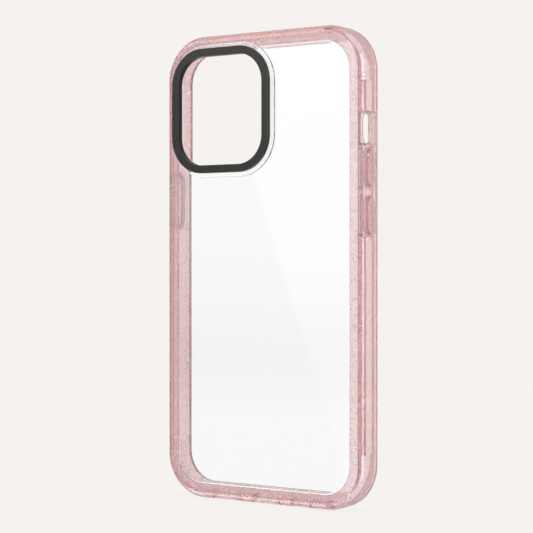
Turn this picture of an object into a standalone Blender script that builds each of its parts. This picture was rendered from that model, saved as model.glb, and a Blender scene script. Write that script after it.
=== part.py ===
"""A phone case of two bonded shells: a clear rigid back plate in a soft bumper frame.

The case stands upright on its bottom edge. +X is to the right as seen from the back, the back
faces -Y, and +Z is up. The origin is the bottom centre of the whole case. A depth is measured
from the bumper's back face towards the screen side, so a negative depth stands proud of the back.
All lengths are in metres.
"""

import math

import bmesh
import bpy
from mathutils import Vector

# The phone that the case holds.
PHONE_W = 0.0781
PHONE_H = 0.1608
PHONE_T = 0.00765
PHONE_CORNER = 0.0128

# Clearances.
FIT = 0.00015         # phone to case, on every side
GAP = 0.0003          # between two pieces side by side
SEAT = 0.00015        # between two pieces that are bonded or rest on each other
FILM_GAP = 0.0001     # above and below the adhesive film

# The bumper's wall, its overlap on the back plate, and the lip in front of the screen.
WALL = 0.00265
BACK_ROUNDING = 0.0023
FRONT_ROUNDING = 0.0020
BACK_OVERLAP = 0.00235
BACK_OVERLAP_T = 0.00065
LIP_T = 0.0017
LIP_SIDE = 0.0011
LIP_END = 0.0024
LIP_CORNER = 0.0112
EDGE_BREAK = 0.00025

# The back plate.
PLATE_T = 0.0016
PLATE_TONGUE = 0.0003
PLATE_BEVEL = 0.00045
PLATE_BEVEL_DEPTH = 0.0004

# The raised camera platform, the metal ring on it and the adhesive film between them.
# The ring's outer edge is placed from the phone's top edge and its left edge seen from the back.
RING_FROM_TOP = 0.00205
RING_FROM_LEFT = 0.00155
RING_W = 0.0422
RING_H = 0.04465
RING_BAND = 0.00285
RING_CORNER = 0.0130
RING_T = 0.0014
RING_BEVEL = 0.0003
SLEEVE_T = 0.0007
SLEEVE_DEPTH = 0.0001
PLATFORM_RISE = 0.0005
PLATFORM_MARGIN = 0.0014
PLATFORM_BEVEL = 0.0003
FILM_T = 0.0002
FILM_INSET = 0.0004

# The ring and silent switch opening on the right side.
SWITCH_FROM_TOP = 0.0330
SWITCH_L = 0.0103
SWITCH_W = 0.0053
SWITCH_PAST_MIDDLE = 0.0002
SWITCH_NOTCH_L = 0.0109
SWITCH_NOTCH_DEPTH = 0.00165
SWITCH_NOTCH_FILLET = 0.0009
SWITCH_NOTCH_FRONT = 0.0084

# The side keys: (name, side, distance below the phone's top, length of the key).
BUTTONS = (
    ("volume_up_button", 1, 0.04645, 0.0127),
    ("volume_down_button", 1, 0.06275, 0.0127),
    ("power_button", -1, 0.05605, 0.0190),
)
BUTTON_W = 0.0046
BUTTON_PROUD = 0.00035
BUTTON_BEVEL = 0.0004
BUTTON_FOOT_LAND = 0.0008
BUTTON_FOOT_T = 0.00045
BUTTON_TRAVEL = 0.00035
POCKET_DEPTH = 0.0005
POCKET_RIM = 0.0006

# The wall's back edge is squared off beside the volume keys: how far this boss stays below
# the back and side faces, how far it reaches in from the side, and how deep it goes.
BOSS_BELOW = 0.00005
BOSS_IN = 0.0019
BOSS_DEPTH = 0.0040

# The bottom openings: (name, offset from the middle, length, width).
BOTTOM_SLOTS = (
    ("speaker_slot", -0.01705, 0.0127, 0.0046),
    ("port_slot", 0.0, 0.0122, 0.0056),
    ("microphone_slot", 0.01472, 0.0087, 0.0046),
)

# The hollow air cushions inside the four corners.
CUSHION_DEPTH = 0.0012
CUSHION_W = 0.0048
CUSHION_PAST_BEND_SIDE = 0.0039
CUSHION_PAST_BEND_END = 0.0009

# How far a cutter reaches past the faces that it opens, and how finely round shapes are drawn.
PAST = 0.0010
CORNER_STEPS = 12
ROUND_STEPS = 6
CAP_STEPS = 8

# Sizes that follow from the ones above.
CAVITY_W = PHONE_W + 2 * FIT
CAVITY_H = PHONE_H + 2 * FIT
CAVITY_CORNER = PHONE_CORNER + FIT
CASE_W = CAVITY_W + 2 * WALL
CASE_H = CAVITY_H + 2 * WALL
CASE_CORNER = CAVITY_CORNER + WALL
LIP_BACK = PLATE_T + PHONE_T + 2 * FIT
CASE_D = LIP_BACK + LIP_T
KEY_DEPTH = PLATE_T + FIT + PHONE_T / 2
PLATFORM_DEPTH = -PLATFORM_RISE
FILM_DEPTH = PLATFORM_DEPTH - FILM_GAP
RING_SEAT_DEPTH = FILM_DEPTH - FILM_T - FILM_GAP
RING_TOP_DEPTH = RING_SEAT_DEPTH - RING_T
PHONE_TOP_Z = CASE_H - WALL - FIT
CAMERA_X = -PHONE_W / 2 + RING_FROM_LEFT + RING_W / 2
CAMERA_Z = PHONE_TOP_Z - RING_FROM_TOP - RING_H / 2
HOLE_W = RING_W - 2 * RING_BAND + 2 * (SLEEVE_T + GAP)
HOLE_H = RING_H - 2 * RING_BAND + 2 * (SLEEVE_T + GAP)
HOLE_CORNER = RING_CORNER - RING_BAND + SLEEVE_T + GAP


def y_at(depth):
    """World Y of a depth, with the whole case centred on the origin front to back."""
    return depth - (CASE_D + RING_TOP_DEPTH) / 2


def clear_scene():
    for obj in list(bpy.data.objects):
        bpy.data.objects.remove(obj, do_unlink=True)


def material(name, colour, roughness, metallic=0.0, transmission=0.0):
    mat = bpy.data.materials.new(name)
    mat.use_nodes = True
    shader = mat.node_tree.nodes["Principled BSDF"]
    shader.inputs["Base Color"].default_value = (*colour, 1.0)
    shader.inputs["Roughness"].default_value = roughness
    shader.inputs["Metallic"].default_value = metallic
    shader.inputs["Transmission Weight"].default_value = transmission
    return mat


def rounded_loop(half_w, half_h, corner, depth, centre_x=0.0, centre_z=CASE_H / 2):
    """Points of a rounded rectangle parallel to the back face, counter-clockwise seen from -Y."""
    points = []
    for quarter, (sx, sz) in enumerate(((1, 1), (-1, 1), (-1, -1), (1, -1))):
        cx = centre_x + sx * (half_w - corner)
        cz = centre_z + sz * (half_h - corner)
        for step in range(CORNER_STEPS + 1):
            angle = math.radians(90 * (quarter + step / CORNER_STEPS))
            x = cx + corner * math.cos(angle)
            z = cz + corner * math.sin(angle)
            points.append(Vector((x, y_at(depth), z)))
    return points


def quarter_round(half_w, half_h, corner, radius, depth, direction):
    """Loops of an edge rounding from the flat face at depth out to the side face.

    direction is 1 on the back edge, where the rounding goes deeper, and -1 on the front edge.
    """
    loops = []
    for step in range(ROUND_STEPS + 1):
        angle = math.radians(90 * step / ROUND_STEPS)
        inset = radius * (1 - math.sin(angle))
        at = depth + direction * radius * (1 - math.cos(angle))
        loops.append(rounded_loop(half_w - inset, half_h - inset, corner - inset, at))
    return loops


def mesh_object(name, bm, mat):
    mesh = bpy.data.meshes.new(name)
    bm.to_mesh(mesh)
    bm.free()
    obj = bpy.data.objects.new(name, mesh)
    bpy.context.scene.collection.objects.link(obj)
    if mat is not None:
        mesh.materials.append(mat)
    mesh.shade_smooth()
    mesh.set_sharp_from_angle(angle=math.radians(35))
    return obj


def joined_loops(loops, closed):
    """A skin over loops of equal length: a ring when closed, else a solid with two flat ends."""
    bm = bmesh.new()
    rows = [[bm.verts.new(point) for point in loop] for loop in loops]
    count = len(rows[0])
    pairs = list(zip(rows, rows[1:]))
    if closed:
        pairs.append((rows[-1], rows[0]))
    for first, second in pairs:
        for i in range(count):
            j = (i + 1) % count
            bm.faces.new((first[i], first[j], second[j], second[i]))
    if not closed:
        bm.faces.new(rows[0])
        bm.faces.new(rows[-1])
    bmesh.ops.recalc_face_normals(bm, faces=bm.faces)
    return bm


def add_prism(bm, outline, along):
    """A closed prism: the flat outline, and the same outline moved by the vector along."""
    base = [bm.verts.new(point) for point in outline]
    top = [bm.verts.new(point + along) for point in outline]
    faces = [bm.faces.new(base), bm.faces.new(top)]
    for i in range(len(base)):
        j = (i + 1) % len(base)
        faces.append(bm.faces.new((base[i], base[j], top[j], top[i])))
    bmesh.ops.recalc_face_normals(bm, faces=faces)


def capsule(length, width):
    """Outline of a slot with round ends, as (along, across) pairs about its middle."""
    radius = width / 2
    straight = length / 2 - radius
    points = []
    for end in (1, -1):
        for step in range(2 * CAP_STEPS + 1):
            angle = math.radians(90 * end - 90 * end + 180 * step / (2 * CAP_STEPS) - 90)
            along = end * (straight + radius * math.cos(angle))
            across = end * radius * math.sin(angle)
            points.append((along, across))
    return points


def side_capsule(side, x, depth, z, length, width):
    """A capsule outline on a side face, long in Z, at the distance x from the middle."""
    outline = []
    for along, across in capsule(length, width):
        outline.append(Vector((side * x, y_at(depth + across), z + along)))
    return outline


def cutter(name, bm):
    obj = mesh_object(name, bm, None)
    obj.hide_render = True
    obj.display_type = "WIRE"
    return obj


def boolean(obj, other, operation):
    modifier = obj.modifiers.new(other.name, "BOOLEAN")
    modifier.operation = operation
    modifier.solver = "EXACT"
    modifier.object = other


def bumper_loops():
    """The frame's cross-section, carried round the case as one closed ring."""
    half_w, half_h = CASE_W / 2, CASE_H / 2
    in_w, in_h = CAVITY_W / 2, CAVITY_H / 2
    rim_w, rim_h = in_w - BACK_OVERLAP, in_h - BACK_OVERLAP
    rim_corner = CAVITY_CORNER - BACK_OVERLAP
    lip_w, lip_h = in_w - LIP_SIDE, in_h - LIP_END
    tongue = PLATE_TONGUE + GAP
    loops = [
        rounded_loop(rim_w, rim_h, rim_corner, BACK_OVERLAP_T),
        rounded_loop(rim_w, rim_h, rim_corner, EDGE_BREAK),
        rounded_loop(rim_w + EDGE_BREAK, rim_h + EDGE_BREAK, rim_corner + EDGE_BREAK, 0.0),
    ]
    loops += quarter_round(half_w, half_h, CASE_CORNER, BACK_ROUNDING, 0.0, 1)
    front = quarter_round(half_w, half_h, CASE_CORNER, FRONT_ROUNDING, CASE_D, -1)
    loops += reversed(front)
    loops += [
        rounded_loop(lip_w + EDGE_BREAK, lip_h + EDGE_BREAK, LIP_CORNER + EDGE_BREAK, CASE_D),
        rounded_loop(lip_w, lip_h, LIP_CORNER, CASE_D - EDGE_BREAK),
        rounded_loop(lip_w, lip_h, LIP_CORNER, LIP_BACK),
        rounded_loop(in_w, in_h, CAVITY_CORNER, LIP_BACK),
        rounded_loop(in_w, in_h, CAVITY_CORNER, PLATE_T + SEAT),
        rounded_loop(in_w + tongue, in_h + tongue, CAVITY_CORNER + tongue, PLATE_T + SEAT),
        rounded_loop(in_w + tongue, in_h + tongue, CAVITY_CORNER + tongue, BACK_OVERLAP_T),
    ]
    return loops


def corner_cushions():
    """Four hollows in the inner corners, each an L with a round bend, open to the phone's space."""
    bm = bmesh.new()
    inner = CAVITY_CORNER - PAST
    outer = CAVITY_CORNER + CUSHION_DEPTH
    low = KEY_DEPTH - CUSHION_W / 2
    for sx in (1, -1):
        for sz in (1, -1):
            cx = sx * (CAVITY_W / 2 - CAVITY_CORNER)
            cz = CASE_H / 2 + sz * (CAVITY_H / 2 - CAVITY_CORNER)
            rows = []
            for radius in (outer, inner):
                row = [(radius, -CUSHION_PAST_BEND_SIDE)]
                for step in range(CORNER_STEPS + 1):
                    angle = math.radians(90 * step / CORNER_STEPS)
                    row.append((radius * math.cos(angle), radius * math.sin(angle)))
                row.append((-CUSHION_PAST_BEND_END, radius))
                rows.append(row)
            outline = rows[0] + rows[1][::-1]
            points = [Vector((cx + sx * u, y_at(low), cz + sz * v)) for u, v in outline]
            add_prism(bm, points, Vector((0.0, CUSHION_W, 0.0)))
    return cutter("cushion_cutter", bm)


def switch_notch():
    """A round-cornered notch in the right side, open to the back, for a fingertip."""
    bm = bmesh.new()
    floor = CASE_W / 2 - SWITCH_NOTCH_DEPTH
    z = PHONE_TOP_Z - SWITCH_FROM_TOP
    half = SWITCH_NOTCH_L / 2
    outline = []
    for end in (1, -1):
        arc = []
        for step in range(ROUND_STEPS + 1):
            angle = math.radians(90 * step / ROUND_STEPS)
            x = floor + SWITCH_NOTCH_FILLET * (1 - math.cos(angle))
            height = half - SWITCH_NOTCH_FILLET * (1 - math.sin(angle))
            arc.append(Vector((x, y_at(-PAST), z + end * height)))
        arc.append(Vector((CASE_W / 2 + PAST, y_at(-PAST), z + end * half)))
        outline += arc[::-1] if end == 1 else arc
    add_prism(bm, outline, Vector((0.0, SWITCH_NOTCH_FRONT + PAST, 0.0)))
    return cutter("switch_notch_cutter", bm)


def switch_slot():
    bm = bmesh.new()
    start = CAVITY_W / 2 - PAST
    z = PHONE_TOP_Z - SWITCH_FROM_TOP
    depth = KEY_DEPTH + SWITCH_PAST_MIDDLE
    outline = side_capsule(1, start, depth, z, SWITCH_L, SWITCH_W)
    add_prism(bm, outline, Vector((WALL + 2 * PAST, 0.0, 0.0)))
    return cutter("switch_slot_cutter", bm)


def bottom_slots():
    bm = bmesh.new()
    for _, offset, length, width in BOTTOM_SLOTS:
        outline = []
        for along, across in capsule(length, width):
            outline.append(Vector((offset + along, y_at(KEY_DEPTH + across), -PAST)))
        add_prism(bm, outline, Vector((0.0, 0.0, WALL + 2 * PAST)))
    return cutter("bottom_slot_cutter", bm)


def key_span(side):
    """Lowest and highest point of the pocket round one side's keys."""
    keys = [key for key in BUTTONS if key[1] == side]
    top = max(PHONE_TOP_Z - below + length / 2 for _, _, below, length in keys)
    bottom = min(PHONE_TOP_Z - below - length / 2 for _, _, below, length in keys)
    return bottom - GAP - POCKET_RIM, top + GAP + POCKET_RIM


def volume_key_boss():
    """A block with a sharp back edge in the right wall, beside the volume keys."""
    bm = bmesh.new()
    out, back = CASE_W / 2 - BOSS_BELOW, BOSS_BELOW
    bottom, top = key_span(1)
    outline = []
    for x, depth in (
        (out - BOSS_IN, BOSS_DEPTH),
        (out - BOSS_IN, back),
        (out - EDGE_BREAK, back),
        (out, back + EDGE_BREAK),
        (out, BOSS_DEPTH),
    ):
        outline.append(Vector((x, y_at(depth), bottom)))
    add_prism(bm, outline, Vector((0.0, 0.0, top - bottom)))
    return cutter("volume_key_boss_tool", bm)


def button_openings():
    """For each key: a pocket outside, a way through, and a wider recess inside for its foot."""
    bm = bmesh.new()
    for side in (1, -1):
        bottom, top = key_span(side)
        rim = 2 * (GAP + POCKET_RIM)
        start = CASE_W / 2 - POCKET_DEPTH
        outline = side_capsule(
            side, start, KEY_DEPTH, (top + bottom) / 2, top - bottom, BUTTON_W + rim
        )
        add_prism(bm, outline, Vector((side * (POCKET_DEPTH + PAST), 0.0, 0.0)))
    pocket = cutter("key_pocket_cutter", bm)

    bm = bmesh.new()
    for _, side, below, length in BUTTONS:
        z = PHONE_TOP_Z - below
        start = CAVITY_W / 2 - PAST
        grown = 2 * GAP
        outline = side_capsule(side, start, KEY_DEPTH, z, length + grown, BUTTON_W + grown)
        add_prism(bm, outline, Vector((side * (WALL + 2 * PAST), 0.0, 0.0)))
    hole = cutter("key_hole_cutter", bm)

    bm = bmesh.new()
    for _, side, below, length in BUTTONS:
        z = PHONE_TOP_Z - below
        start = CAVITY_W / 2 - PAST
        grown = 2 * (BUTTON_FOOT_LAND + GAP)
        reach = PAST + BUTTON_TRAVEL + BUTTON_FOOT_T + SEAT
        outline = side_capsule(side, start, KEY_DEPTH, z, length + grown, BUTTON_W + grown)
        add_prism(bm, outline, Vector((side * reach, 0.0, 0.0)))
    recess = cutter("key_recess_cutter", bm)
    return pocket, hole, recess


def platform_notch():
    """Room in the bumper's back overlap for the camera platform."""
    half_w = RING_W / 2 + PLATFORM_MARGIN + GAP
    half_h = RING_H / 2 + PLATFORM_MARGIN + GAP
    corner = RING_CORNER + PLATFORM_MARGIN + GAP
    depths = (-PAST, BACK_OVERLAP_T + GAP / 2)
    loops = [rounded_loop(half_w, half_h, corner, d, CAMERA_X, CAMERA_Z) for d in depths]
    return cutter("platform_notch_cutter", joined_loops(loops, False))


def make_bumper():
    mat = material("pink_glitter_tpu", (0.86, 0.46, 0.49), 0.22, 0.0, 0.6)
    bumper = mesh_object("bumper", joined_loops(bumper_loops(), True), mat)
    cutters = [corner_cushions(), switch_notch(), switch_slot(), bottom_slots()]
    cutters += button_openings()
    cutters.append(platform_notch())
    boolean(bumper, volume_key_boss(), "UNION")
    for tool in cutters:
        boolean(bumper, tool, "DIFFERENCE")
    return bumper


def make_back_plate():
    """A clear plate with a stepped edge under the bumper's overlap, and a raised platform."""
    mat = material("clear_polycarbonate", (0.96, 0.97, 0.96), 0.05, 0.0, 1.0)
    in_w, in_h = CAVITY_W / 2, CAVITY_H / 2
    tongue_w, tongue_h = in_w + PLATE_TONGUE, in_h + PLATE_TONGUE
    tongue_corner = CAVITY_CORNER + PLATE_TONGUE
    pad = BACK_OVERLAP + GAP
    pad_w, pad_h, pad_corner = in_w - pad, in_h - pad, CAVITY_CORNER - pad
    step = BACK_OVERLAP_T + SEAT
    top_w, top_h = pad_w - PLATE_BEVEL, pad_h - PLATE_BEVEL
    loops = [
        rounded_loop(tongue_w, tongue_h, tongue_corner, PLATE_T),
        rounded_loop(tongue_w, tongue_h, tongue_corner, step),
        rounded_loop(pad_w, pad_h, pad_corner, step),
        rounded_loop(pad_w, pad_h, pad_corner, PLATE_BEVEL_DEPTH),
        rounded_loop(top_w, top_h, pad_corner - PLATE_BEVEL, 0.0),
    ]
    plate = mesh_object("back_plate", joined_loops(loops, False), mat)

    half_w, half_h = RING_W / 2 + PLATFORM_MARGIN, RING_H / 2 + PLATFORM_MARGIN
    corner = RING_CORNER + PLATFORM_MARGIN
    bevel = PLATFORM_BEVEL
    loops = [
        rounded_loop(half_w, half_h, corner, (step + PLATE_T) / 2, CAMERA_X, CAMERA_Z),
        rounded_loop(half_w, half_h, corner, PLATFORM_DEPTH + bevel, CAMERA_X, CAMERA_Z),
        rounded_loop(
            half_w - bevel, half_h - bevel, corner - bevel, PLATFORM_DEPTH, CAMERA_X, CAMERA_Z
        ),
    ]
    platform = cutter("platform_tool", joined_loops(loops, False))
    boolean(plate, platform, "UNION")

    depths = (PLATFORM_DEPTH - PAST, PLATE_T + PAST)
    loops = []
    for depth in depths:
        loops.append(
            rounded_loop(HOLE_W / 2, HOLE_H / 2, HOLE_CORNER, depth, CAMERA_X, CAMERA_Z)
        )
    boolean(plate, cutter("camera_hole_cutter", joined_loops(loops, False)), "DIFFERENCE")
    return plate


def make_camera_ring():
    """An L-section frame: a flat band on the platform and a sleeve down into the plate's hole."""
    mat = material("black_anodised_aluminium", (0.045, 0.047, 0.045), 0.38, 0.9)
    section = (
        (0.0, RING_SEAT_DEPTH),
        (0.0, RING_TOP_DEPTH + RING_BEVEL),
        (RING_BEVEL, RING_TOP_DEPTH),
        (RING_BAND - RING_BEVEL, RING_TOP_DEPTH),
        (RING_BAND, RING_TOP_DEPTH + RING_BEVEL),
        (RING_BAND, SLEEVE_DEPTH),
        (RING_BAND - SLEEVE_T, SLEEVE_DEPTH),
        (RING_BAND - SLEEVE_T, RING_SEAT_DEPTH),
    )
    loops = []
    for inset, depth in section:
        half_w, half_h = RING_W / 2 - inset, RING_H / 2 - inset
        loops.append(
            rounded_loop(half_w, half_h, RING_CORNER - inset, depth, CAMERA_X, CAMERA_Z)
        )
    return mesh_object("camera_ring", joined_loops(loops, True), mat)


def make_ring_film():
    """The thin adhesive film that holds the camera ring on its platform."""
    mat = material("adhesive_film", (0.12, 0.12, 0.12), 0.6)
    outer = FILM_INSET
    inner = (RING_W - HOLE_W) / 2
    loops = []
    for inset, depth in (
        (outer, FILM_DEPTH),
        (outer, FILM_DEPTH - FILM_T),
        (inner, FILM_DEPTH - FILM_T),
        (inner, FILM_DEPTH),
    ):
        half_w, half_h = RING_W / 2 - inset, RING_H / 2 - inset
        loops.append(
            rounded_loop(half_w, half_h, RING_CORNER - inset, depth, CAMERA_X, CAMERA_Z)
        )
    return mesh_object("camera_ring_film", joined_loops(loops, True), mat)


def make_button(name, side, below, length, mat):
    """A key cap in the pocket with a wider foot behind the wall, its origin on its slide axis."""
    z = PHONE_TOP_Z - below
    foot_in = CAVITY_W / 2 + BUTTON_TRAVEL
    foot_out = foot_in + BUTTON_FOOT_T
    top = CASE_W / 2 + BUTTON_PROUD
    land = 2 * BUTTON_FOOT_LAND
    bevel = BUTTON_BEVEL
    section = (
        (foot_in, land),
        (foot_out, land),
        (foot_out, 0.0),
        (top - bevel, 0.0),
        (top - bevel * 0.3, -bevel * 0.6),
        (top, -bevel * 2),
    )
    origin = Vector((side * top, y_at(KEY_DEPTH), z))
    loops = []
    for x, grown in section:
        loop = side_capsule(side, x, KEY_DEPTH, z, length + grown, BUTTON_W + grown)
        loops.append([point - origin for point in loop])
    obj = mesh_object(name, joined_loops(loops, False), mat)
    obj.location = origin
    return obj


def make_buttons():
    mat = material("pink_glitter_tpu_keys", (0.80, 0.42, 0.46), 0.25, 0.0, 0.4)
    for name, side, below, length in BUTTONS:
        make_button(name, side, below, length, mat)


def build():
    clear_scene()
    make_bumper()
    make_back_plate()
    make_camera_ring()
    make_ring_film()
    make_buttons()


build()
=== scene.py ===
import math

import bpy
import bmesh
import numpy as np
from mathutils import Matrix, Vector


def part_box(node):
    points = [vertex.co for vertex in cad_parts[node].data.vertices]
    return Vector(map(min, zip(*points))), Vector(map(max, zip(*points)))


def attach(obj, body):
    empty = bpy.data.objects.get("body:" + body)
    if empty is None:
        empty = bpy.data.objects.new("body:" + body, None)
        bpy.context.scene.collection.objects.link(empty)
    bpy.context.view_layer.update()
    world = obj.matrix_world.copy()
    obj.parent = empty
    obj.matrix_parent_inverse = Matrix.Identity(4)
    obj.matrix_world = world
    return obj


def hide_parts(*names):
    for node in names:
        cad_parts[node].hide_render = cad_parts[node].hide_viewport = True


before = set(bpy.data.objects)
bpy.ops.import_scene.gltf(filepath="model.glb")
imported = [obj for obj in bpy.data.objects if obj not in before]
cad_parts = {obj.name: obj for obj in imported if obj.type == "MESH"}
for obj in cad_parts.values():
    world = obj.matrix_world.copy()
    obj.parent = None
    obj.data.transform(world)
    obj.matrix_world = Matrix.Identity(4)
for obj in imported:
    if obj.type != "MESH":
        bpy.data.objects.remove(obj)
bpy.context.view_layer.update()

# A clear phone case: a pink glitter TPU bumper, a clear back plate, a black ring round the
# camera opening and three side keys.
# Lengths are in metres. Depth runs from the bumper's back face towards the screen, along +Y.

MM = 0.001

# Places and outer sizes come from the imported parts.
case_low, case_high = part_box("bumper")
plate_low, plate_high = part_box("back_plate")
ring_low, ring_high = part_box("camera_ring")
BACK_Y = case_low.y
HALF_W = (case_high.x - case_low.x) / 2
HALF_H = (case_high.z - case_low.z) / 2
MID_Z = (case_high.z + case_low.z) / 2
CASE_D = case_high.y - case_low.y
RING_X = (ring_low.x + ring_high.x) / 2
RING_Z = (ring_low.z + ring_high.z) / 2
RING_HALF_W = (ring_high.x - ring_low.x) / 2
RING_HALF_H = (ring_high.z - ring_low.z) / 2
RING_TOP = ring_low.y - BACK_Y
RING_FOOT = ring_high.y - BACK_Y
PLATE_T = plate_high.y - BACK_Y
PLATFORM_TOP = plate_low.y - BACK_Y

# The bumper's section. Its two roundings are the reaches of the outer corners.
CASE_CORNER = 15.6 * MM
WALL = 2.65 * MM
BACK_ROUNDING = 2.7 * MM
FRONT_ROUNDING = 2.0 * MM
BACK_OVERLAP = 2.35 * MM
BACK_OVERLAP_T = 0.65 * MM
FLANGE_MEETS = 0.25 * MM  # how far the back flange runs on towards the plate's pad
LIP_T = 1.7 * MM
LIP_SIDE = 1.1 * MM
LIP_END = 2.4 * MM
LIP_CORNER = 11.2 * MM
CAVITY_CORNER = CASE_CORNER - WALL
SEAT = 0.15 * MM
GAP = 0.3 * MM

# The plate's edge and the camera platform.
PLATE_TONGUE = 0.3 * MM
PLATE_BEVEL = 0.35 * MM
PLATFORM_MARGIN = 1.4 * MM
RING_CORNER = 13.0 * MM
RING_BAND = 2.85 * MM
RING_T = 1.4 * MM
SLEEVE_T = 0.7 * MM

# Keys, openings and corner cushions.
KEY_DEPTH = 5.575 * MM
KEY_W = 4.6 * MM
KEY_FOOT_LAND = 0.8 * MM
KEY_FOOT_T = 0.45 * MM
KEY_TRAVEL = 0.35 * MM
POCKET_DEPTH = 0.5 * MM
POCKET_RIM = 0.6 * MM
KEYS = {
    "volume_up_button": ("volume_up_key", 1),
    "volume_down_button": ("volume_down_key", 1),
    "power_button": ("power_key", -1),
}
SWITCH_Z = 130.6 * MM
SWITCH_L = 10.3 * MM
SWITCH_W = 5.3 * MM
SWITCH_DEPTH = KEY_DEPTH + 0.2 * MM
NOTCH_HALF = 5.45 * MM
NOTCH_DEPTH = 1.65 * MM
NOTCH_FRONT = 8.4 * MM
BOSS_BELOW = 0.05 * MM
BOSS_IN = 1.9 * MM
BOSS_DEPTH = 4.0 * MM
BOTTOM_SLOTS = (
    (-17.05 * MM, 12.7 * MM, 4.6 * MM),
    (0.0, 12.2 * MM, 5.6 * MM),
    (14.72 * MM, 8.7 * MM, 4.6 * MM),
)
CUSHION_DEPTH = 1.2 * MM
CUSHION_W = 4.8 * MM
CUSHION_PAST_SIDE = 3.9 * MM
CUSHION_PAST_END = 0.9 * MM

# How far a cutting tool runs past the face that it cuts.
PAST = 1.0 * MM
SLOT_PAST = 0.15 * MM

# Points in a rounded corner, a slot's end and an eased edge. The cushions' steps differ from
# the frame's, so that no edge of their tool lies along an edge of the wall.
CORNER_STEPS = 36
CUSHION_STEPS = CORNER_STEPS + 5
CAP_STEPS = 28
EASE_STEPS = 6
MOUTH_STEPS = 6
MOUTH_TURN = 72  # degrees that a slot's mouth turns before it meets the face
CREASE = 32  # degrees, past which an edge stays sharp


# Surfaces.

def eased(points, reaches, closed=True, steps=EASE_STEPS):
    """A section with its corners rounded.

    A corner P, cut back by its reach to A on one side and B on the other, becomes the points
    (A (1-s)^2 + 2 w P s (1-s) + B s^2) / ((1-s)^2 + 2 w s (1-s) + s^2) for s from 0 to 1,
    where w is the sine of half the angle between the sides, so the curve is a circular arc.
    """
    points = np.asarray(points, float)
    before = np.roll(points, 1, axis=0) - points
    after = np.roll(points, -1, axis=0) - points
    before /= np.linalg.norm(before, axis=1, keepdims=True)
    after /= np.linalg.norm(after, axis=1, keepdims=True)
    cosine = np.clip((before * after).sum(axis=1), -1, 1)
    weight = np.sqrt((1 - cosine) / 2)[:, None, None]
    reach = np.asarray(reaches, float)[:, None]
    start = (points + before * reach)[:, None]
    end = (points + after * reach)[:, None]
    share = np.linspace(0, 1, steps)[None, :, None]
    first, middle, last = (1 - share) ** 2, 2 * weight * share * (1 - share), share ** 2
    curve = (start * first + points[:, None] * middle + end * last) / (first + middle + last)
    curve = curve.reshape(-1, points.shape[1])
    if closed:
        return curve
    return np.vstack((points[:1], curve[steps:-steps], points[-1:]))


def frame_grid(rows, centre_x=0.0, centre_z=MID_Z, steps=CORNER_STEPS):
    """Rounded rectangles parallel to the back, one a row of (half width, half height, corner, depth).

    In each quarter the point is the corner's centre plus its radius times (cosine, sine) of an
    angle that runs once round the frame.
    """
    half_w, half_h, corner, depth = np.asarray(rows, float).T[:, :, None]
    quarter = np.repeat(np.arange(4), steps + 1)
    angle = np.radians(90) * (quarter + np.tile(np.linspace(0, 1, steps + 1), 4))
    sign_x = np.array([1, -1, -1, 1])[quarter]
    sign_z = np.array([1, 1, -1, -1])[quarter]
    x = centre_x + sign_x * (half_w - corner) + corner * np.cos(angle)
    z = centre_z + sign_z * (half_h - corner) + corner * np.sin(angle)
    return np.stack(np.broadcast_arrays(x, BACK_Y + depth, z), axis=-1)


def slot_grid(rows, length, width, place):
    """Outlines with round ends, one a row of (growth, height), on three axes given by place.

    Half a turn of radius width / 2 + growth goes round each end of a straight middle, which
    keeps its length; place is (middle, along, across, out), and height is measured along out.
    """
    growth, height = np.asarray(rows, float).T[:, :, None]
    end = np.repeat([1, -1], CAP_STEPS + 1)
    angle = np.tile(np.linspace(-0.5, 0.5, CAP_STEPS + 1), 2) * math.pi
    radius = width / 2 + growth
    along = end * ((length - width) / 2 + radius * np.cos(angle))
    across = end * radius * np.sin(angle)
    middle, u, v, w = (np.asarray(axis, float) for axis in place)
    along, across, height = (a[..., None] for a in np.broadcast_arrays(along, across, height))
    return middle + along * u + across * v + height * w


def bend_grid(section, sign_x, sign_z):
    """A closed (radius, depth) section carried round one inner corner, with straight ends.

    The path is a quarter turn about the cavity corner's centre; its first point is moved back
    along the side and its last back along the end, and the radius is measured from the centre.
    """
    radius, depth = np.asarray(section, float).T
    turn = np.radians(np.linspace(0, 90, CUSHION_STEPS + 1))
    turn = np.concatenate(([0.0], turn, [math.pi / 2]))
    shift_u = np.zeros_like(turn)
    shift_v = np.zeros_like(turn)
    shift_u[-1], shift_v[0] = -CUSHION_PAST_END, -CUSHION_PAST_SIDE
    u = HALF_W - CASE_CORNER + np.cos(turn)[:, None] * radius + shift_u[:, None]
    v = HALF_H - CASE_CORNER + np.sin(turn)[:, None] * radius + shift_v[:, None]
    x, y, z = sign_x * u, BACK_Y + depth, MID_Z + sign_z * v
    return np.stack(np.broadcast_arrays(x, y, z), axis=-1)


def wall_grid(outline, depths):
    """A flat (x, z) outline carried straight along the depth."""
    x, z = np.asarray(outline, float).T
    y = BACK_Y + np.asarray(depths, float)[:, None]
    return np.stack(np.broadcast_arrays(x, y, z), axis=-1)


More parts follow.
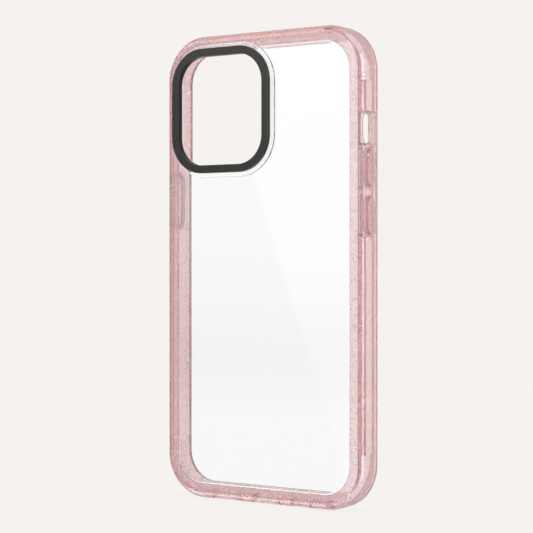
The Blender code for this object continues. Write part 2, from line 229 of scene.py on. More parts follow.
def skins(name, grids, ring_section=False):
    """One mesh over several grids whose rows are closed loops.

    A face joins each point to its neighbours along the loop and in the next row. With a ring
    section the last row joins the first, and otherwise a flat face closes each end. Faces are
    turned outwards by the sign of the volume that they enclose.
    """
    whole = bmesh.new()
    for grid in grids:
        rows, count = grid.shape[:2]
        index = np.arange(rows * count).reshape(rows, count)
        ahead = np.roll(index, -1, axis=1)
        stop = rows if ring_section else rows - 1
        below, below_ahead = np.roll(index, -1, axis=0)[:stop], np.roll(ahead, -1, axis=0)[:stop]
        quads = np.stack((index[:stop], ahead[:stop], below_ahead, below), axis=-1)
        faces = quads.reshape(-1, 4).tolist()
        if not ring_section:
            faces += [index[0][::-1].tolist(), index[-1].tolist()]
        mesh = bpy.data.meshes.new(name)
        mesh.from_pydata(grid.reshape(-1, 3).tolist(), [], faces)
        part = bmesh.new()
        part.from_mesh(mesh)
        bmesh.ops.remove_doubles(part, verts=part.verts, dist=1e-7)
        bmesh.ops.dissolve_degenerate(part, edges=part.edges, dist=1e-8)
        if part.calc_volume(signed=True) < 0:
            bmesh.ops.reverse_faces(part, faces=part.faces)
        part.to_mesh(mesh)
        part.free()
        whole.from_mesh(mesh)
        bpy.data.meshes.remove(mesh)
    mesh = bpy.data.meshes.new(name)
    whole.to_mesh(mesh)
    whole.free()
    obj = bpy.data.objects.new(name, mesh)
    bpy.context.scene.collection.objects.link(obj)
    return obj


def finished(obj, tools=()):
    """Cuts or joins the tools, then fixes the modifiers' result as the object's own mesh.

    Tools are (object, operation) pairs. Normals follow the large flat faces, and an edge
    sharper than the crease angle stays sharp.
    """
    for tool, operation in tools:
        cut = obj.modifiers.new(tool.name, "BOOLEAN")
        cut.operation = operation
        cut.solver = "EXACT"
        cut.object = tool
    bpy.context.view_layer.update()
    graph = bpy.context.evaluated_depsgraph_get()
    mesh = bpy.data.meshes.new_from_object(obj.evaluated_get(graph))
    obj.modifiers.clear()
    obj.data = mesh
    mesh.shade_smooth()
    mesh.set_sharp_from_angle(angle=math.radians(CREASE))
    for tool, _ in tools:
        bpy.data.objects.remove(tool, do_unlink=True)
    weighted = obj.modifiers.new("flat_faces", "WEIGHTED_NORMAL")
    weighted.keep_sharp = True
    weighted.weight = 80
    return obj


# Pieces.

def make_bumper():
    """The frame's section carried round the case, then its openings cut."""
    rim = HALF_W - WALL - BACK_OVERLAP - FLANGE_MEETS
    wall_w, wall_h = HALF_W - WALL, HALF_H - WALL
    groove = PLATE_TONGUE + GAP

    def row(inset, depth):
        return HALF_W - inset, HALF_H - inset, CASE_CORNER - inset, depth

    lip = wall_w - LIP_SIDE, wall_h - LIP_END, LIP_CORNER
    section = [
        row(HALF_W - rim, BACK_OVERLAP_T),
        row(HALF_W - rim, 0.0),
        row(0.0, 0.0),
        row(0.0, CASE_D),
        row(FRONT_ROUNDING + 0.3 * MM, CASE_D),
        (*lip, CASE_D),
        (*lip, CASE_D - LIP_T),
        row(WALL, CASE_D - LIP_T),
        row(WALL, PLATE_T + SEAT),
        row(WALL - groove, PLATE_T + SEAT),
        row(WALL - groove, BACK_OVERLAP_T),
    ]
    reaches = np.array([0.12, 0.2, 0.0, 0.0, 0.2, 0.35, 0.2, 0.2, 0.12, 0.08, 0.12]) * MM
    reaches[2:4] = BACK_ROUNDING, FRONT_ROUNDING
    section = eased_rows(section, reaches)
    body = skins("glitter_bumper", [frame_grid(section)], ring_section=True)
    tools = [cushions(), notch(), switch_slot(), bottom_slots(), platform_notch()]
    tools += key_openings()
    return finished(body, [(volume_key_boss(), "UNION")] + [(tool, "DIFFERENCE") for tool in tools])


def eased_rows(rows, reaches, closed=True):
    """Eases (half width, half height, corner, depth) rows in the plane of half width and depth.

    The other two columns follow the same curve, at the same shares of their own change.
    """
    rows = np.asarray(rows, float)
    scale = np.array([1.0, 1.0, 1.0, math.sqrt(3)])
    flat = rows * scale
    step_before = np.linalg.norm((np.roll(flat, 1, axis=0) - flat), axis=1)
    plane = rows[:, (0, 3)]
    true_before = np.linalg.norm(np.roll(plane, 1, axis=0) - plane, axis=1)
    ratio = step_before / np.maximum(true_before, 1e-9)
    curve = eased(flat, reaches * ratio, closed)
    return curve / scale


def cushions():
    """Four hollows in the inner corners, open to the phone's space."""
    low, high = KEY_DEPTH - CUSHION_W / 2, KEY_DEPTH + CUSHION_W / 2
    inner, outer = CAVITY_CORNER - PAST, CAVITY_CORNER + CUSHION_DEPTH
    section = [(inner, low), (outer, low), (outer, high), (inner, high)]
    section = eased(section, np.array([0.05, 0.5, 0.5, 0.05]) * MM)
    grids = [bend_grid(section, sx, sz) for sx in (1, -1) for sz in (1, -1)]
    return skins("cushion_tool", grids)


def notch():
    """A flared notch in the right side, open to the back, at the silent switch."""
    out, flare = HALF_W + PAST, 0.95 * MM
    floor, top = HALF_W - NOTCH_DEPTH, NOTCH_HALF
    outline = [
        (out, SWITCH_Z + top + flare),
        (HALF_W - 0.55 * MM, SWITCH_Z + top),
        (floor, SWITCH_Z + top),
        (floor, SWITCH_Z - top),
        (HALF_W - 0.55 * MM, SWITCH_Z - top),
        (out, SWITCH_Z - top - flare),
    ]
    outline = eased(outline, np.array([0.05, 0.5, 0.8, 0.8, 0.5, 0.05]) * MM)
    return skins("notch_tool", [wall_grid(outline, (-PAST, NOTCH_FRONT))])


def through_rows(inner, outer, lip, mouth=0.15 * MM):
    """(growth, height) rows of a hole whose edges curve away at both faces of the wall.

    Each mouth is an arc of radius lip or mouth, and runs on straight past its face. The arc's
    last point, which would lie on the face itself, is left out.
    """
    angle = np.radians(np.linspace(0, MOUTH_TURN, MOUTH_STEPS))
    below = np.sin(angle[-1]) - np.sin(angle)
    flare = np.stack((lip * (1 - np.cos(angle)), outer - lip * below), 1)
    inside = np.stack((mouth * (1 - np.cos(angle)), inner + mouth * below), 1)
    slope = 1 / math.tan(math.pi / 2 - angle[-1])
    last = flare[-1] + np.array([SLOT_PAST * slope, SLOT_PAST])
    first = inside[-1] + np.array([SLOT_PAST * slope, -SLOT_PAST])
    return np.vstack((first, inside[-2::-1], flare[:-1], last))


def switch_slot():
    """A round-ended hole from the notch's floor into the case, straight along X."""
    place = (0, BACK_Y + SWITCH_DEPTH, SWITCH_Z), (0, 0, 1), (0, 1, 0), (1, 0, 0)
    rows = through_rows(HALF_W - WALL, HALF_W - NOTCH_DEPTH, 0.2 * MM)
    return skins("switch_tool", [slot_grid(rows, SWITCH_L, SWITCH_W, place)])


def bottom_slots():
    """Three round-ended holes through the bottom wall, straight along Z."""
    rows = through_rows(HALF_H - WALL, HALF_H, 0.35 * MM)
    grids = []
    for offset, length, width in BOTTOM_SLOTS:
        place = (offset, BACK_Y + KEY_DEPTH, MID_Z), (1, 0, 0), (0, 1, 0), (0, 0, -1)
        grids.append(slot_grid(rows, length, width, place))
    return skins("bottom_slot_tool", grids)


def key_place(side, z):
    """Axes for a round-ended opening in a side wall: its middle, along Z, across along Y, out along X."""
    return (0, BACK_Y + KEY_DEPTH, z), (0, 0, 1), (0, 1, 0), (side, 0, 0)


def key_size(node):
    """The middle height and cap length of a key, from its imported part's box."""
    low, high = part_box(node)
    return (low.z + high.z) / 2, high.z - low.z - 2 * KEY_FOOT_LAND


def key_span(side):
    """The lowest and highest point of the pocket round one side's keys."""
    spans = [key_size(node) for node, (_, s) in KEYS.items() if s == side]
    top = max(z + length / 2 for z, length in spans)
    bottom = min(z - length / 2 for z, length in spans)
    return bottom - GAP - POCKET_RIM, top + GAP + POCKET_RIM


def volume_key_boss():
    """A block beside the volume keys that squares off the wall's back rounding.

    Its (x, depth) section is carried straight along Z, and shrinks a little at both ends.
    """
    bottom, top = key_span(1)
    out, within = HALF_W - BOSS_BELOW, HALF_W - BOSS_IN
    ends = 0.12 * MM
    rows = []
    for z, inset in ((bottom, ends), (bottom + ends, 0.0), (top - ends, 0.0), (top, ends)):
        section = eased([
            (within, BOSS_DEPTH),
            (within, BOSS_BELOW + inset),
            (out - inset, BOSS_BELOW + inset),
            (out - inset, BOSS_DEPTH),
        ], np.array([0.05, 0.05, 0.22, 0.05]) * MM)
        rows.append([(x, BACK_Y + depth, z) for x, depth in section])
    return skins("key_boss_tool", [np.array(rows)])


def key_openings():
    """The outer pockets, the ways through the wall, and the recesses for the keys' feet."""
    pockets, holes, recesses = [], [], []
    start = HALF_W - WALL - PAST
    for side in (1, -1):
        bottom, top = key_span(side)
        place = key_place(side, (top + bottom) / 2)
        width = KEY_W + 2 * (GAP + POCKET_RIM)
        pockets.append(slot_grid(pocket_rows(), top - bottom, width, place))
    for node, (_, side) in KEYS.items():
        z, length = key_size(node)
        grown = 2 * GAP
        rows = [(0.0, start), (0.0, HALF_W + PAST)]
        holes.append(slot_grid(rows, length + grown, KEY_W + grown, key_place(side, z)))
        grown = 2 * (KEY_FOOT_LAND + GAP)
        reach = HALF_W - WALL + KEY_TRAVEL + KEY_FOOT_T + SEAT
        rows = [(0.0, start), (0.0, reach)]
        recesses.append(slot_grid(rows, length + grown, KEY_W + grown, key_place(side, z)))
    return [
        skins("pocket_tool", pockets),
        skins("hole_tool", holes),
        skins("recess_tool", recesses),
    ]


def pocket_rows():
    """A blind pocket: the floor's corner rounded, the mouth curving away at the outer face."""
    corner, lip = 0.2 * MM, 0.25 * MM
    floor = HALF_W - POCKET_DEPTH
    turn = np.pi / 2 - np.radians(np.linspace(90, 0, MOUTH_STEPS))
    bottom = np.stack((corner * (np.sin(turn) - 1), floor + corner * (1 - np.cos(turn))), 1)
    angle = np.radians(np.linspace(0, MOUTH_TURN, MOUTH_STEPS))
    below = np.sin(angle[-1]) - np.sin(angle)
    mouth = np.stack((lip * (1 - np.cos(angle)), HALF_W - lip * below), 1)
    last = mouth[-1] + np.array([PAST * math.tan(angle[-1]), PAST])
    return np.vstack((bottom, mouth[:-1], last))


def platform_notch():
    """Room in the bumper's back overlap for the camera platform."""
    grown = PLATFORM_MARGIN + GAP
    size = RING_HALF_W + grown, RING_HALF_H + grown, RING_CORNER + grown
    rows = [(*size, BACK_OVERLAP_T + GAP / 2), (*size, 0.2 * MM)]
    wide = [value + 0.15 * MM + PAST for value in size]
    rows += [tuple(value + 0.15 * MM for value in size) + (0.0,), (*wide, -PAST)]
    return skins("platform_notch_tool", [frame_grid(rows, RING_X, RING_Z)])


def make_back_plate():
    """A flat plate with a stepped edge, a raised camera platform and the camera opening."""
    wall_w, wall_h = HALF_W - WALL, HALF_H - WALL
    pad = BACK_OVERLAP + GAP
    step = BACK_OVERLAP_T + SEAT

    def row(inset, depth):
        return wall_w - inset, wall_h - inset, CAVITY_CORNER - inset, depth

    section = [
        row(2.0 * MM, PLATE_T),
        row(-PLATE_TONGUE, PLATE_T),
        row(-PLATE_TONGUE, step),
        row(pad, step),
        row(pad, 0.4 * MM),
        row(pad + PLATE_BEVEL, 0.0),
        row(pad + 2.0 * MM, 0.0),
    ]
    reaches = np.array([0.1, 0.1, 0.1, 0.1, 0.12, 0.15, 0.1]) * MM
    plate = skins("clear_back_plate", [frame_grid(eased_rows(section, reaches, False))])

    half_w, half_h = RING_HALF_W + PLATFORM_MARGIN, RING_HALF_H + PLATFORM_MARGIN
    corner = RING_CORNER + PLATFORM_MARGIN

    def platform_row(inset, depth):
        return half_w - inset, half_h - inset, corner - inset, depth

    section = [
        platform_row(1.0 * MM, (step + PLATE_T) / 2),
        platform_row(-0.2 * MM, (step + PLATE_T) / 2),
        platform_row(-0.2 * MM, 0.1 * MM),
        platform_row(0.0, -0.1 * MM),
        platform_row(0.0, PLATFORM_TOP),
        platform_row(1.0 * MM, PLATFORM_TOP),
    ]
    reaches = np.array([0.1, 0.05, 0.05, 0.1, 0.35, 0.1]) * MM
    platform = skins("platform_tool", [frame_grid(eased_rows(section, reaches, False), RING_X, RING_Z)])

    inset = RING_BAND - SLEEVE_T - GAP
    size = RING_HALF_W - inset, RING_HALF_H - inset, RING_CORNER - inset
    rows = [(*size, PLATFORM_TOP - PAST), (*size, PLATE_T + PAST)]
    hole = skins("camera_hole_tool", [frame_grid(rows, RING_X, RING_Z)])
    return finished(plate, [(platform, "UNION"), (hole, "DIFFERENCE")])


def make_camera_ring():
    """A flat band with eased edges and a sleeve down into the plate's opening."""
    seat = RING_TOP + RING_T

    def row(inset, depth):
        return RING_HALF_W - inset, RING_HALF_H - inset, RING_CORNER - inset, depth

    section = [
        row(0.0, seat),
        row(0.0, RING_TOP),
        row(RING_BAND, RING_TOP),
        row(RING_BAND, RING_FOOT),
        row(RING_BAND - SLEEVE_T, RING_FOOT),
        row(RING_BAND - SLEEVE_T, seat),
    ]
    reaches = np.array([0.08, 0.14, 0.14, 0.12, 0.1, 0.1]) * MM
    rows = eased_rows(section, reaches)
    ring = skins("anodised_camera_ring", [frame_grid(rows, RING_X, RING_Z)], ring_section=True)
    return finished(ring)


def make_key(node, name, side):
    """A key: a wider foot behind the wall, a straight stem and a softly crowned cap.

    The rows shrink to the line along the key's middle, and the crown falls away from that line
    with the square of the distance.
    """
    low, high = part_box(node)
    z, length = key_size(node)
    top = max(abs(low.x), abs(high.x))
    foot_in = min(abs(low.x), abs(high.x))
    half = KEY_W / 2
    crown = 0.12 * MM
    share = np.linspace(0, 1, 9)
    edge = 0.45 * MM
    turn = np.radians(np.linspace(0, 90, 7))
    lower = [(-half, foot_in), (KEY_FOOT_LAND, foot_in)]
    lower += [(KEY_FOOT_LAND, foot_in + KEY_FOOT_T), (0.0, foot_in + KEY_FOOT_T)]
    round_edge = np.stack((-edge * (1 - np.cos(turn)), top - crown - edge * (1 - np.sin(turn))), 1)
    inset = edge + (half - edge) * share[1:]
    height = top - crown * (1 - (inset - edge) / (half - edge)) ** 2
    cap = np.stack((-inset, height), 1)
    rows = np.vstack((lower, round_edge, cap))
    key = skins(name, [slot_grid(rows, length, KEY_W, key_place(side, z))])
    return finished(key)


# Materials.

def linear(hex_colour):
    """An sRGB hex colour as linear light: c / 12.92 in the toe, else ((c + 0.055) / 1.055) ^ 2.4."""
    code = np.array([int(hex_colour[i:i + 2], 16) for i in (1, 3, 5)]) / 255
    light = np.where(code <= 0.04045, code / 12.92, ((code + 0.055) / 1.055) ** 2.4)
    return (*light.tolist(), 1.0)


def add(tree, kind, sockets=None, **settings):
    """Adds a node with its settings. A socket takes a value, or another node's output as a link."""
    node = tree.nodes.new(kind)
    for name, value in settings.items():
        setattr(node, name, value)
    for name, value in (sockets or {}).items():
        if isinstance(value, bpy.types.NodeSocket):
            tree.links.new(value, node.inputs[name])
        else:
            node.inputs[name].default_value = value
    return node


def blank(name):
    """A new material with an empty node tree."""
    material = bpy.data.materials.new(name)
    material.use_nodes = True
    material.node_tree.nodes.clear()
    return material, material.node_tree


def glitter_tpu(name, flake_share, tint_density):
    """Thermoplastic polyurethane with polyester glitter, injection moulded.

    Clear pink body with a soft gloss: the colour deepens with thickness. Flakes lie just under
    the skin, between finer pearl dust. Real flakes are about 0.2 mm across, which is too fine to
    show in the render, so they are drawn about twice that.
    """
    material, tree = blank(name)
    place = add(tree, "ShaderNodeTexCoord").outputs["Object"]
    # Flake cells 0.5 mm apart.
    cells = add(tree, "ShaderNodeTexVoronoi", {"Vector": place, "Scale": 1 / (0.5 * MM)})
    dice = add(tree, "ShaderNodeSeparateColor", {"Color": cells.outputs["Color"]})
    disc = add(tree, "ShaderNodeMapRange", {
        "Value": cells.outputs["Distance"], "From Min": 0.5, "From Max": 0.3,
    })
    chosen = add(tree, "ShaderNodeMath", {
        0: dice.outputs["Red"], 1: 1 - flake_share,
    }, operation="GREATER_THAN")
    flake = add(tree, "ShaderNodeMath", {
        0: disc.outputs["Result"], 1: chosen.outputs[0],
    }, operation="MULTIPLY").outputs[0]
    # Pearl dust, 0.35 mm grain.
    dust = add(tree, "ShaderNodeTexNoise", {
        "Vector": place, "Scale": 1 / (0.35 * MM), "Detail": 2.0, "Roughness": 0.6,
    })
    dust = add(tree, "ShaderNodeMapRange", {
        "Value": dust.outputs["Fac"], "From Min": 0.38, "From Max": 0.66,
    }).outputs["Result"]
    body = add(tree, "ShaderNodeMix", {
        "Factor": dust, "A": linear("#fffaf8"), "B": linear("#f2ced0"),
    }, data_type="RGBA")
    spark = add(tree, "ShaderNodeValToRGB", {"Fac": dice.outputs["Green"]})
    spark.color_ramp.elements[0].color = linear("#d39ca3")
    spark.color_ramp.elements[1].color = linear("#fffaf8")
    colour = add(tree, "ShaderNodeMix", {
        "Factor": flake, "A": body.outputs["Result"], "B": spark.outputs["Color"],
    }, data_type="RGBA")
    clear = add(tree, "ShaderNodeMapRange", {"Value": dust, "To Min": 0.95, "To Max": 0.80})
    hidden = add(tree, "ShaderNodeMapRange", {"Value": flake, "To Min": 1.0, "To Max": 0.35})
    transmission = add(tree, "ShaderNodeMath", {
        0: clear.outputs["Result"], 1: hidden.outputs["Result"],
    }, operation="MULTIPLY")
    shader = add(tree, "ShaderNodeBsdfPrincipled", {
        "Base Color": colour.outputs["Result"],
        "Roughness": 0.14,
        "IOR": 1.5,
        "Transmission Weight": transmission.outputs[0],
    })
    tint = add(tree, "ShaderNodeVolumeAbsorption", {
        "Color": (0.86, 0.20, 0.22, 1.0), "Density": tint_density,
    })
    add(tree, "ShaderNodeOutputMaterial", {"Surface": shader.outputs[0], "Volume": tint.outputs[0]})
    return material


def clear_polycarbonate():
    """Polycarbonate, injection moulded in a polished tool: water-clear and very glossy."""
    material, tree = blank("clear_polycarbonate")
    place = add(tree, "ShaderNodeTexCoord").outputs["Object"]
    haze = add(tree, "ShaderNodeTexNoise", {"Vector": place, "Scale": 1 / (9 * MM), "Detail": 3.0})
    rough = add(tree, "ShaderNodeMapRange", {
        "Value": haze.outputs["Fac"], "To Min": 0.0, "To Max": 0.03,
    })
    shader = add(tree, "ShaderNodeBsdfPrincipled", {
        "Base Color": linear("#ffffff"),
        "Roughness": rough.outputs["Result"],
        "IOR": 1.585,
        "Transmission Weight": 1.0,
    })
    tint = add(tree, "ShaderNodeVolumeAbsorption", {"Color": (0.55, 0.75, 0.65, 1.0), "Density": 12.0})
    add(tree, "ShaderNodeOutputMaterial", {"Surface": shader.outputs[0], "Volume": tint.outputs[0]})
    return material


def anodised_aluminium():
    """Aluminium, machined, bead blasted and anodised black: a fine satin grain, dark grey."""
    material, tree = blank("black_anodised_aluminium")
    place = add(tree, "ShaderNodeTexCoord").outputs["Object"]
    # Bead-blast dimples 0.12 mm across.
    grain = add(tree, "ShaderNodeTexNoise", {"Vector": place, "Scale": 1 / (0.12 * MM), "Detail": 3.0})
    broad = add(tree, "ShaderNodeTexNoise", {"Vector": place, "Scale": 1 / (6 * MM), "Detail": 2.0})
    rough = add(tree, "ShaderNodeMapRange", {
        "Value": grain.outputs["Fac"], "To Min": 0.26, "To Max": 0.36,
    })
    colour = add(tree, "ShaderNodeMix", {
        "Factor": broad.outputs["Fac"], "A": linear("#353433"), "B": linear("#3c3b39"),
    }, data_type="RGBA")
    bump = add(tree, "ShaderNodeBump", {
        "Height": grain.outputs["Fac"], "Strength": 0.15, "Distance": 0.02 * MM,
    })
    shader = add(tree, "ShaderNodeBsdfPrincipled", {
        "Base Color": colour.outputs["Result"],
        "Metallic": 1.0,
        "Roughness": rough.outputs["Result"],
        "Normal": bump.outputs[0],
    })
    add(tree, "ShaderNodeOutputMaterial", {"Surface": shader.outputs[0]})
    return material


def adhesive_film():
    """Acrylic foam adhesive film, die cut: matt black with a fine cell texture."""
    material, tree = blank("adhesive_film")
    place = add(tree, "ShaderNodeTexCoord").outputs["Object"]
    cells = add(tree, "ShaderNodeTexNoise", {"Vector": place, "Scale": 1 / (0.2 * MM), "Detail": 2.0})
    colour = add(tree, "ShaderNodeMix", {
        "Factor": cells.outputs["Fac"], "A": linear("#191918"), "B": linear("#2a2a28"),
    }, data_type="RGBA")
    rough = add(tree, "ShaderNodeMapRange", {
        "Value": cells.outputs["Fac"], "To Min": 0.5, "To Max": 0.7,
    })
    shader = add(tree, "ShaderNodeBsdfPrincipled", {
        "Base Color": colour.outputs["Result"], "Roughness": rough.outputs["Result"], "IOR": 1.47,
    })
    add(tree, "ShaderNodeOutputMaterial", {"Surface": shader.outputs[0]})
    return material


# Studio.

BACKDROP = linear("#f6f2ef")
ROOM_WHITE = (1.0, 1.0, 1.0, 1.0)
ROOM_GLOSS = (0.55, 0.55, 0.55, 1.0)
FLOOR_GLOSS = (0.75, 0.75, 0.75, 1.0)
SEEN_THROUGH = (0.97, 0.97, 0.97, 1.0)
SEEN_ASIDE = (0.75, 0.75, 0.75, 1.0)
SEEN_BACK = (0.7, 0.7, 0.7, 1.0)
SIDE_COSINE = -0.2
BEHIND_COSINE = 0.55

# The camera's place: degrees round and up from the case's back, then its distance and the
# aim's shift from the case's middle, all three in millimetres.
VIEW_AZIMUTH = 34.486
VIEW_ELEVATION = 0.262
VIEW_DISTANCE = 575.095
VIEW_LENS = 109.69
AIM_LEFT = 1.087
AIM_UP = 0.314

# Where the flat back mirrors the camera to, in degrees, and how far off the cards stand.
MIRROR_AZIMUTH = -34.5
CARD_DISTANCE = 1.2


def seen_through(tree):
    """The light that clear parts let through.

    It goes from grey at the sides to white straight behind the case, by the cosine of the angle
    between the ray and that direction, and to another grey on the case's near side.
    """
    heading = add(tree, "ShaderNodeTexCoord").outputs["Generated"]
    a = math.radians(VIEW_AZIMUTH)
    ahead = add(tree, "ShaderNodeVectorMath", {
        0: heading, 1: (-math.sin(a), math.cos(a), 0.0),
    }, operation="DOT_PRODUCT").outputs["Value"]
    share = add(tree, "ShaderNodeMapRange", {
        "Value": ahead, "From Min": SIDE_COSINE, "From Max": BEHIND_COSINE,
    }, interpolation_type="SMOOTHSTEP").outputs["Result"]
    light = add(tree, "ShaderNodeMix", {
        "Factor": share, "A": SEEN_ASIDE, "B": SEEN_THROUGH,
    }, data_type="RGBA").outputs["Result"]
    return_share = add(tree, "ShaderNodeMapRange", {
        "Value": ahead, "From Min": SIDE_COSINE, "From Max": -BEHIND_COSINE,
    }, interpolation_type="SMOOTHSTEP").outputs["Result"]
    return add(tree, "ShaderNodeMix", {
        "Factor": return_share, "A": light, "B": SEEN_BACK,
    }, data_type="RGBA").outputs["Result"]


def studio_light(tree, glossy, through=SEEN_THROUGH):
    """What a ray meets: the warm backdrop seen directly, white seen through clear parts."""
    rays = add(tree, "ShaderNodeLightPath").outputs
    light = add(tree, "ShaderNodeMix", {
        "Factor": rays["Is Glossy Ray"], "A": ROOM_WHITE, "B": glossy,
    }, data_type="RGBA").outputs["Result"]
    light = add(tree, "ShaderNodeMix", {
        "Factor": rays["Is Transmission Ray"], "A": light, "B": through,
    }, data_type="RGBA").outputs["Result"]
    return add(tree, "ShaderNodeMix", {
        "Factor": rays["Is Camera Ray"], "A": light, "B": BACKDROP,
    }, data_type="RGBA").outputs["Result"]


def make_world():
    """An even room: the backdrop's colour seen directly, and white or grey in light and gloss."""
    world = bpy.data.worlds.new("studio")
    bpy.context.scene.world = world
    world.use_nodes = True
    tree = world.node_tree
    tree.nodes.clear()
    light = studio_light(tree, ROOM_GLOSS, seen_through(tree))
    background = add(tree, "ShaderNodeBackground", {"Color": light, "Strength": 1.0})
    add(tree, "ShaderNodeOutputWorld", {"Surface": background.outputs[0]})


def make_floor():
    """A pale round floor just under the case, with a faint contact shadow."""
    angle = np.linspace(0, 2 * math.pi, 97)[:-1]
    radius = np.array([0.0001, 0.3, 1.5])[:, None]
    x, y = radius * np.cos(angle), radius * np.sin(angle)
    grid = np.stack(np.broadcast_arrays(x, y, np.full_like(x, case_low.z - 0.02 * MM)), axis=-1)
    rows, count = grid.shape[:2]
    index = np.arange(rows * count).reshape(rows, count)
    ahead = np.roll(index, -1, axis=1)
    faces = np.stack((index[:-1], index[1:], ahead[1:], ahead[:-1]), axis=-1).reshape(-1, 4)
    mesh = bpy.data.meshes.new("studio_floor")
    mesh.from_pydata(grid.reshape(-1, 3).tolist(), [], faces.tolist() + [index[0].tolist()])
    floor = bpy.data.objects.new("studio_floor", mesh)
    bpy.context.scene.collection.objects.link(floor)
    material, tree = blank("pale_floor")
    light = studio_light(tree, FLOOR_GLOSS)
    contact = add(tree, "ShaderNodeAmbientOcclusion", {"Distance": 8 * MM}, samples=8)
    shade = add(tree, "ShaderNodeMapRange", {
        "Value": contact.outputs["AO"], "To Min": 0.96, "To Max": 1.0,
    })
    glow = add(tree, "ShaderNodeEmission", {"Color": light, "Strength": shade.outputs["Result"]})
    add(tree, "ShaderNodeOutputMaterial", {"Surface": glow.outputs[0]})
    mesh.materials.append(material)
    floor.visible_glossy = False
    floor.visible_transmission = False


def make_card(name, azimuth, elevation, width, height, level):
    """A lit softbox card that faces the case; only reflections see it.

    level is a function that takes the node tree and the card's own across and up coordinates,
    in metres, and gives the brightness as a socket or a number.
    """
    a, e = math.radians(azimuth), math.radians(elevation)
    back = Vector((math.sin(a) * math.cos(e), -math.cos(a) * math.cos(e), math.sin(e)))
    across = Vector((math.cos(a), math.sin(a), 0.0))
    up = back.cross(across).normalized()
    centre = Vector((0, 0, MID_Z)) + back * CARD_DISTANCE
    corners = [(-1, -1), (1, -1), (1, 1), (-1, 1)]
    points = [centre + across * (u * width / 2) + up * (v * height / 2) for u, v in corners]
    mesh = bpy.data.meshes.new(name)
    mesh.from_pydata([tuple(p) for p in points], [], [(0, 1, 2, 3)])
    layer = mesh.uv_layers.new(name="card")
    for corner, (u, v) in zip(layer.data, corners):
        corner.uv = (u * width / 2, v * height / 2)
    card = bpy.data.objects.new(name, mesh)
    bpy.context.scene.collection.objects.link(card)
    card.visible_camera = False
    card.visible_transmission = False
    card.visible_shadow = False
    card.visible_diffuse = False
    material, tree = blank(name)
    place = add(tree, "ShaderNodeUVMap", uv_map="card")
    split = add(tree, "ShaderNodeSeparateXYZ", {0: place.outputs[0]})
    strength = level(tree, split.outputs[0], split.outputs[1])
    glow = add(tree, "ShaderNodeEmission", {"Strength": strength})
    add(tree, "ShaderNodeOutputMaterial", {"Surface": glow.outputs[0]})
    mesh.materials.append(material)


def key_card_level(tree, across, up):
    """Two softboxes side by side with a leaning edge between them, dimmer in a band low down."""
    lean = add(tree, "ShaderNodeMath", {0: up, 1: 0.311, 2: across}, operation="MULTIPLY_ADD")
    side = add(tree, "ShaderNodeMapRange", {
        "Value": lean.outputs[0], "From Min": 0.018, "From Max": 0.021, "To Min": 0.0, "To Max": 1.0,
    })
    fall = add(tree, "ShaderNodeMapRange", {
        "Value": up, "From Min": -0.14, "From Max": 0.0, "To Min": 0.3, "To Max": 0.8,
    })
    side = add(tree, "ShaderNodeMath", {0: side.outputs[0], 1: fall.outputs[0]}, operation="MULTIPLY")
    ramp = add(tree, "ShaderNodeMapRange", {"Value": up, "From Min": -0.30, "From Max": 0.30})
    curve = add(tree, "ShaderNodeValToRGB", {"Fac": ramp.outputs["Result"]})
    stops = (
        (0.0, 0.65), (0.22, 0.73), (0.26, 0.27), (0.30, 0.0), (0.35, 0.0),
        (0.39, 0.18), (0.43, 0.46), (0.52, 0.75), (0.65, 0.84), (1.0, 1.12),
    )
    elements = curve.color_ramp.elements
    for _ in stops[2:]:
        elements.new(0.5)
    for element, (at, value) in zip(elements, stops):
        element.position = at
        element.color = (value, value, value, 1.0)
    both = add(tree, "ShaderNodeMath", {
        0: curve.outputs["Color"], 1: side.outputs[0],
    }, operation="ADD")
    return both.outputs[0]


def strip_level(value):
    """The same brightness all over a card."""
    return lambda tree, across, up: value


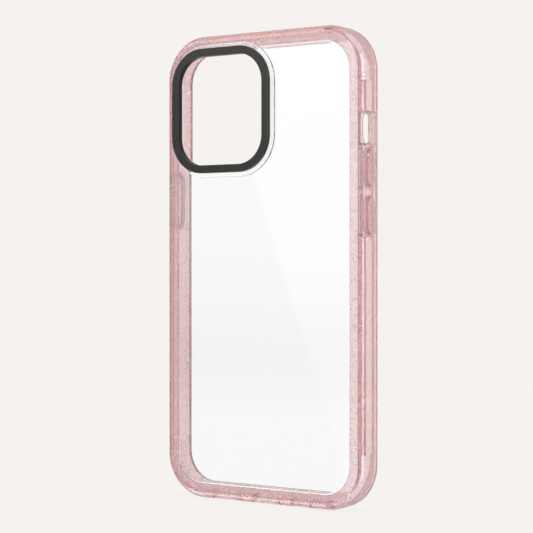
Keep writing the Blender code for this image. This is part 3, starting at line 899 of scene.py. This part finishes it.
def make_camera():
    """A long lens aimed at the middle of the case from its back, to the right."""
    azimuth, elevation = math.radians(VIEW_AZIMUTH), math.radians(VIEW_ELEVATION)
    back = Vector((
        math.sin(azimuth) * math.cos(elevation),
        -math.cos(azimuth) * math.cos(elevation),
        math.sin(elevation),
    ))
    right = Vector((math.cos(azimuth), math.sin(azimuth), 0.0))
    up = right.cross(-back)
    aim = Vector((0.0, BACK_Y + CASE_D / 2, MID_Z)) - right * AIM_LEFT * MM + up * AIM_UP * MM
    data = bpy.data.cameras.new("camera")
    data.lens = VIEW_LENS
    data.sensor_width = 36.0
    camera = bpy.data.objects.new("camera", data)
    bpy.context.scene.collection.objects.link(camera)
    turn = (-back).to_track_quat("-Z", "Y").to_matrix().to_4x4()
    camera.matrix_world = Matrix.Translation(aim + back * VIEW_DISTANCE * MM) @ turn
    data.clip_start, data.clip_end = 0.05, 20.0
    bpy.context.scene.camera = camera


# Assembly.

tpu = glitter_tpu("pink_glitter_tpu", 0.30, 68.0)
key_tpu = glitter_tpu("pink_glitter_tpu_keys", 0.42, 68.0)

bumper = make_bumper()
plate = make_back_plate()
ring = make_camera_ring()
dressed = (
    (bumper, tpu, "bumper", "case", "glitter_tpu"),
    (plate, clear_polycarbonate(), "back_plate", "case", "clear_polycarbonate"),
    (ring, anodised_aluminium(), "camera_ring", "case", "black_anodised_aluminium"),
)
for piece, material, node, body, slot in dressed:
    piece.data.materials.clear()
    piece.data.materials.append(material)
    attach(piece, body)
    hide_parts(node)
for node, (name, side) in KEYS.items():
    key = make_key(node, name, side)
    key.data.materials.append(key_tpu)
    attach(key, node)
    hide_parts(node)

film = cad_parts["camera_ring_film"]
film.material_slots[0].material = adhesive_film()

make_world()
make_floor()
make_card("key_softbox", MIRROR_AZIMUTH, 0.0, 0.62, 0.9, key_card_level)
make_card("rim_strip", 74.0, 0.0, 0.56, 1.6, strip_level(10.0))
make_card("low_strip", MIRROR_AZIMUTH, -44.0, 1.8, 0.7, strip_level(5.5))
make_card("high_strip", MIRROR_AZIMUTH, 32.0, 1.8, 0.5, strip_level(4.5))
make_camera()
bpy.context.scene.view_settings.view_transform = "Standard"
